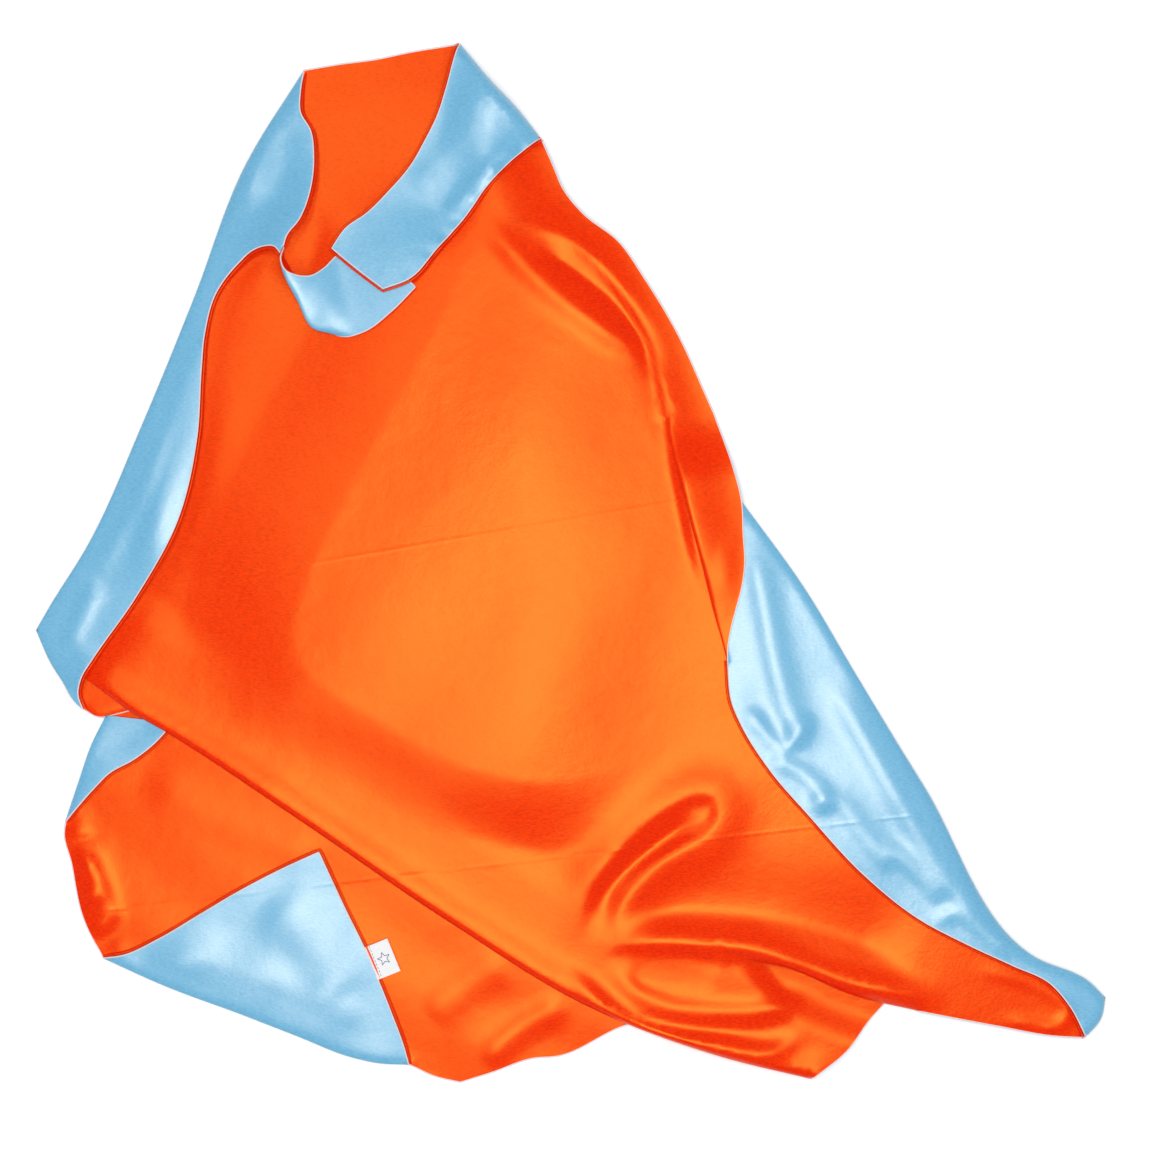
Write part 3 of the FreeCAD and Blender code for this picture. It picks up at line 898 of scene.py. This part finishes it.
def satin(name, dark, light, gloss):
    """Satin: a close weave of shiny threads, mottled, with ripples, packing creases and a coloured gloss."""
    tree, shader = new_material(name, light, 0.3)
    place = tree.nodes.new("ShaderNodeTexCoord").outputs["Object"]
    stretch = node(tree, "ShaderNodeMapping", Scale=(1.0, 3.0, 1.0))
    tree.links.new(place, stretch.inputs["Vector"])
    mottle = noise(tree, stretch.outputs["Vector"], 380.0, 6.0)
    tree.links.new(ramp(tree, mottle, dark, light, 0.3, 0.7), shader.inputs["Base Color"])
    weave = node(tree, "ShaderNodeTexWave", Scale=420.0, Distortion=1.0)
    weave.bands_direction = "DIAGONAL"
    tree.links.new(place, weave.inputs["Vector"])
    normal = bumped(tree, weave.outputs["Fac"], 0.12, 0.0002)
    for scale, detail, strength, depth in SATIN_BUMPS:
        normal = bumped(tree, noise(tree, place, scale, detail), strength, depth, normal)
    patches = noise(tree, place, 9.0, 1.0)
    for across, distance in CREASES:
        normal = crease(tree, place, patches, across, distance, normal)
    tree.links.new(normal, shader.inputs["Normal"])
    shader.inputs["Specular Tint"].default_value = (*gloss, 1)
    shader.inputs["Specular IOR Level"].default_value = 0.9


def matt(name, color, roughness, scale, depth):
    """A matt material with a fine grain, for thread, tape, ribbon and the floor. On the seams' beads its pale
    colour is a painted highlight on their rolled edges.
    """
    tree, shader = new_material(name, color, roughness)
    place = tree.nodes.new("ShaderNodeTexCoord").outputs["Object"]
    grain = noise(tree, place, scale, 2.0)
    tree.links.new(bumped(tree, grain, 0.5, depth), shader.inputs["Normal"])
    tree.links.new(ramp(tree, grain, [c * 0.8 for c in color], color), shader.inputs["Base Color"])


satin("orange_satin", (0.68, 0.004, 0.0016), (0.94, 0.024, 0.0003), (1.0, 0.48, 0.06))
satin("blue_satin", (0.11, 0.38, 0.62), (0.17, 0.48, 0.71), (1.0, 0.91, 0.74))
# Pale thread colour. On the patches' stitches it is the thread's own colour. On the seams' beads it is a
# painted highlight on the satin's rolled edges.
matt("seam_thread", (0.85, 0.70, 0.72), 0.5, 900.0, 0.0002)
matt("patch_tape", (0.80, 0.82, 0.84), 0.8, 1500.0, 0.0004)
matt("label_ribbon", (0.90, 0.90, 0.90), 0.7, 1800.0, 0.0002)
matt("label_thread", (0.10, 0.16, 0.32), 0.7, 1800.0, 0.0002)
new_material("floor", (0.98, 0.98, 0.985), 0.95)

# ---------------------------------------------------------------- the cloth

surface_xyz, surface_normal, surface_tri, surface_ply = middle_surface()
middles = surface_xyz[surface_tri].mean(1) / MM

tab_joint = joints["tab_peel"]
hinge = np.array(tab_joint["pos_m"][:2]) / MM
TOWARD_TAB = np.array((-tab_joint["axis"][1], tab_joint["axis"][0]))


def past_hinge(xy):
    """How far points are past the tab's joint, towards its end."""
    return (xy - hinge) @ TOWARD_TAB


in_tab = (surface_ply == "strap") & (past_hinge(middles[:, :2]) > -TAB_CUT)
near_corner = reach(corner_fold, middles[:, :2])[0] < CORNER_CUT
in_corner = (surface_ply == "corner") | ((surface_ply == "under") & near_corner)
in_cape = ~(in_tab | in_corner)

strap_rim = joined(strap_neck, strap_end, strap_low)
corner_rim = joined(corner_right, corner_left)
rim_past = past_hinge(strap_rim) > -TAB_CUT
first, last = np.flatnonzero(rim_past)[[0, -1]]

# The free edges: CAD node, ply, line. The cloth is on each line's left.
EDGES = [
    ("back_neck_seam", "body", back_neck),
    ("hem_seam", "hem_piece", hem_piece),
    ("hem_seam", "body", tip_hem),
    ("hem_seam", "under", joined(corner_rest, under_hem)),
    ("left_side_seam", "strip", left_side),
    ("left_side_seam", "tuck", tuck_rim),
    ("left_side_seam", "under", under_side),
    ("left_side_seam", "under_strip", under_strip),
    ("left_strap_seam", "strip", left_neck),
    ("right_side_seam", "flap", flap_edge),
    ("right_side_seam", "turned", turned_edge),
    ("right_side_seam", "body", shoulder),
    ("right_strap_seam", "strap", strap_rim[:first + 1]),
    ("right_strap_seam", "strap", strap_rim[last:]),
    ("tab_seam", "strap", strap_rim[first:last + 1]),
    ("corner_seam", "corner", corner_rim),
]
PIECE_OF_NODE = {"tab_seam": "tab", "corner_seam": "corner"}

for piece, chosen in (("panel", in_cape), ("tab", in_tab), ("corner", in_corner)):
    for colour, side in (("orange", 1), ("blue", -1)):
        build = Build()
        add_panel(build, chosen, side)
        if colour == "orange":
            for seam_node, ply, line in EDGES:
                if PIECE_OF_NODE.get(seam_node, "panel") == piece and PLIES[ply].up == "blue":
                    down = CORNER_LIP_DOWN if piece == "corner" else LIP_DOWN
                    build.tube(edge_path(ply, line, LIP_OUT, down), LIP_RADIUS * MM)
        made = build.make(f"{colour}_{piece}_satin", colour + "_satin")
        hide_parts(f"{colour}_{piece}")

# Beads along every free edge and round the left strap, in the pale thread colour: a painted highlight on the
# rolled seam edges.
seams = {}
for seam_node, ply, line in EDGES:
    seams.setdefault(seam_node, Build()).tube(edge_path(ply, line), SEAM_RADIUS * MM)
for line in (left_strap[0], left_strap[STRAP_ROWS // 2:, -1], left_strap[-1, left_strap.shape[1] // 2:]):
    seams["left_strap_seam"].tube(line * MM, SEAM_RADIUS * MM)
for seam_node, build in seams.items():
    made = build.make(seam_node + "_thread", "seam_thread")
    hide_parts(seam_node)


# ---------------------------------------------------------------- patches and label

def rectangle(centre, along, length, width, step=1.5):
    """A grid of points over a rectangle whose length lies along a direction, with its rows and columns."""
    along = np.array(along, float)
    across = np.array((-along[1], along[0]))
    u = np.linspace(-length / 2, length / 2, max(2, round(length / step)))
    v = np.linspace(-width / 2, width / 2, max(2, round(width / step)))
    grid = np.array([centre + a * along + b * across for b in v for a in u])
    return grid, len(v), len(u)


def slab(build, grid, rows, columns, low, high):
    """A closed plate between two heights given at each point of a grid. Millimetres."""
    count = rows * columns
    points = np.vstack([in_space(grid, high), in_space(grid, low)])
    quads = []
    for j in range(rows - 1):
        for i in range(columns - 1):
            a = j * columns + i
            quads.append([a, a + 1, a + columns + 1, a + columns])
    faces = quads + [[i + count for i in f[::-1]] for f in quads]
    rim = list(range(columns)) + [j * columns + columns - 1 for j in range(1, rows)]
    rim += list(range(count - 2, count - columns - 1, -1)) + [j * columns for j in range(rows - 2, 0, -1)]
    middle = points.mean(0)
    normals = [np.tile((0, 0, 1.0), (4 * len(quads), 1)), np.tile((0, 0, -1.0), (4 * len(quads), 1))]
    for a, b in zip(rim, rim[1:] + rim[:1]):
        faces.append([b, a, a + count, b + count])
        out = (points[a] + points[b]) / 2 - middle
        out[2] = 0
        normals.append(np.tile(out / np.linalg.norm(out), (4, 1)))
    build.add(points, faces, np.vstack(normals))


def frame_xy(node_name):
    """The middle of a CAD node from above, in millimetres."""
    low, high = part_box(node_name)
    return np.array([(low[i] + high[i]) / 2 for i in (0, 1)]) / MM


ALONG_PATCH = np.array((-0.7831, 0.6219))
SKIN = PANEL + PANEL_GAP


def patch(node_name, height, up):
    """A hook or loop patch on a surface: its tape and its stitches. up is 1 above the surface, -1 below."""
    grid, rows, columns = rectangle(frame_xy(node_name), ALONG_PATCH, *PATCH_SIZE)
    near = height(grid) + up * SKIN
    far = near + up * PATCH_THICKNESS
    build = Build()
    slab(build, grid, rows, columns, np.minimum(near, far), np.maximum(near, far))
    pile_size = np.array(PATCH_SIZE) - 2 * PILE_MARGIN
    pile, _, _ = rectangle(frame_xy(node_name), ALONG_PATCH, *pile_size, PILE_STEP)
    face = height(pile) + up * (SKIN + PATCH_THICKNESS)
    arch = up * np.array((-PILE_SINK, PILE_REACH, -PILE_SINK))
    for k, (x, y) in enumerate(pile):
        bend = ALONG_PATCH * PILE_REACH * (1 if k % 2 else -1)
        foot = np.array([(x, y) - bend, (x, y), (x, y) + bend])
        build.tube(in_space(foot, face[k] + arch), PILE_RADIUS * MM, 4)
    tape = build.make(node_name + "_tape", "patch_tape")
    stitches = Build()
    half = np.array(PATCH_SIZE) / 2 - STITCH_INSET
    corners = [np.array(c) * half for c in ((-1, -1), (1, -1), (1, 1), (-1, 1))]
    across = np.array((-ALONG_PATCH[1], ALONG_PATCH[0]))
    for a, b in zip(corners, corners[1:] + corners[:1]):
        for start in np.arange(0, np.linalg.norm(b - a) - STITCH_END, STITCH_STEP):
            way = (b - a) / np.linalg.norm(b - a)
            ends = np.array([a + way * (start + part) for part in (0, STITCH_LENGTH / 2, STITCH_LENGTH)])
            xy = frame_xy(node_name) + ends[:, :1] * ALONG_PATCH + ends[:, 1:] * across
            z = height(xy) + up * (SKIN + PATCH_THICKNESS + np.array((0.0, STITCH_ARCH, 0.0)))
            stitches.tube(in_space(xy, z), STITCH_RADIUS * MM, 6)
    thread = stitches.make(node_name + "_stitches", "seam_thread")
    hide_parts(node_name)
    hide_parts(node_name + "_stitching")
    return tape, thread


hook_tape, hook_stitches = patch("hook_patch", PLIES["strap"].z, -1)
loop_tape, loop_stitches = patch("loop_patch", left_strap_height, 1)

LABEL_ALONG = np.array((-0.3786, 0.9255))
LABEL_OUT = np.array((0.9255, 0.3786))
label_middle = frame_xy("care_label")
label_height = height_at(PLIES["corner"].z, label_middle - LABEL_OUT * LABEL_INLAND)
ribbon_middle = label_middle - LABEL_OUT * LABEL_TUCK / 2


def label_wave(out):
    """The label's gentle wave, at distances outward from its middle."""
    return 0.25 * np.sin(out / 4)


label_build = Build()
for layer in LABEL_LAYERS:
    grid, rows, columns = rectangle(ribbon_middle, LABEL_ALONG, LABEL_SIZE[1], LABEL_SIZE[0] + LABEL_TUCK)
    base = label_height + layer + label_wave((grid - label_middle) @ LABEL_OUT)
    slab(label_build, grid, rows, columns, base, base + RIBBON_THICKNESS)
label = label_build.make("care_label_ribbon", "label_ribbon")
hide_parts("care_label")


def on_label(points):
    """Points on the label's face, from (along, outward) pairs measured from its middle."""
    points = np.array(points, float)
    xy = label_middle + points[:, :1] * LABEL_ALONG + points[:, 1:] * LABEL_OUT
    return in_space(xy, label_height + label_wave(points[:, 1]) + LABEL_FACE)


mark = Build()
star = []
for k in range(11):
    radius = STAR_RADII[k % 2]
    star.append((radius * math.cos(k * math.pi / 5), radius * math.sin(k * math.pi / 5)))
for a, b in zip(star, star[1:]):
    mark.tube(on_label(smooth([a, b], 0.5)), STAR_THREAD * MM, 6)
for k in range(LABEL_STITCHES):
    along = -LABEL_SIZE[1] / 2 + LABEL_STITCH_START + k * LABEL_STITCH_STEP
    stitch = [(along + part, LABEL_STITCH_LINE) for part in (0, 0.8, 1.5)]
    mark.tube(on_label(stitch), STITCH_RADIUS * MM, 6)
label_thread = mark.make("care_label_stitches", "label_thread")
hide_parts("label_stitching")

# ---------------------------------------------------------------- joints

scene_objects = bpy.data.objects

for name in ("orange_tab_satin", "blue_tab_satin", "tab_seam_thread"):
    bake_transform(scene_objects[name])
for name in ("orange_corner_satin", "blue_corner_satin", "corner_seam_thread"):
    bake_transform(scene_objects[name])
for piece in (hook_tape, hook_stitches):
    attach(piece, "closing_tab")
for piece in (label, label_thread):
    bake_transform(piece)
for name in ("orange_panel_satin", "blue_panel_satin", "back_neck_seam_thread", "hem_seam_thread",
             "left_side_seam_thread", "right_side_seam_thread", "left_strap_seam_thread",
             "right_strap_seam_thread"):
    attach(scene_objects[name], "cape")
for piece in (loop_tape, loop_stitches):
    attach(piece, "cape")

# ---------------------------------------------------------------- floor, camera and light

bpy.ops.mesh.primitive_plane_add(size=FLOOR_SIZE)
floor = bpy.context.object
floor.name = "floor"
floor.data.materials.append(MATERIALS["floor"])

camera_data = bpy.data.cameras.new("camera")
camera = bpy.data.objects.new("camera", camera_data)
bpy.context.scene.collection.objects.link(camera)
camera.location = (VIEW_CENTRE[0] * MM, VIEW_CENTRE[1] * MM, CAMERA_HEIGHT * MM)
camera_data.sensor_width = SENSOR
camera_data.lens = SENSOR * CAMERA_HEIGHT / VIEW_WIDTH
camera_data.clip_end = 50
bpy.context.scene.camera = camera


def softbox(name, place, size, power, aim=(0, 0, 0)):
    """A square area light that faces a point."""
    data = bpy.data.lights.new(name, "AREA")
    data.shape = "RECTANGLE"
    data.size, data.size_y = size
    data.energy = power
    lamp = bpy.data.objects.new(name, data)
    lamp.location = place
    lamp.rotation_mode = "QUATERNION"
    lamp.rotation_quaternion = (Vector(aim) - Vector(place)).to_track_quat("-Z", "Y")
    bpy.context.scene.collection.objects.link(lamp)


softbox("overhead", (0.16, -0.05, 2.3), (0.82, 0.8), 28, (0.16, -0.05, 0))
softbox("low_left", (-0.42, -0.58, 2.3), (0.36, 0.36), 6.5, (-0.3, -0.2, 0))
softbox("high_left", (-0.56, 0.62, 2.3), (0.30, 0.36), 5.5, (-0.2, 0.25, 0))
world = bpy.data.worlds.new("studio")
world.use_nodes = True
world.node_tree.nodes["Background"].inputs["Color"].default_value = (1, 1, 1, 1)
world.node_tree.nodes["Background"].inputs["Strength"].default_value = 0.45
bpy.context.scene.world = world
bpy.context.scene.view_settings.view_transform = "Standard"
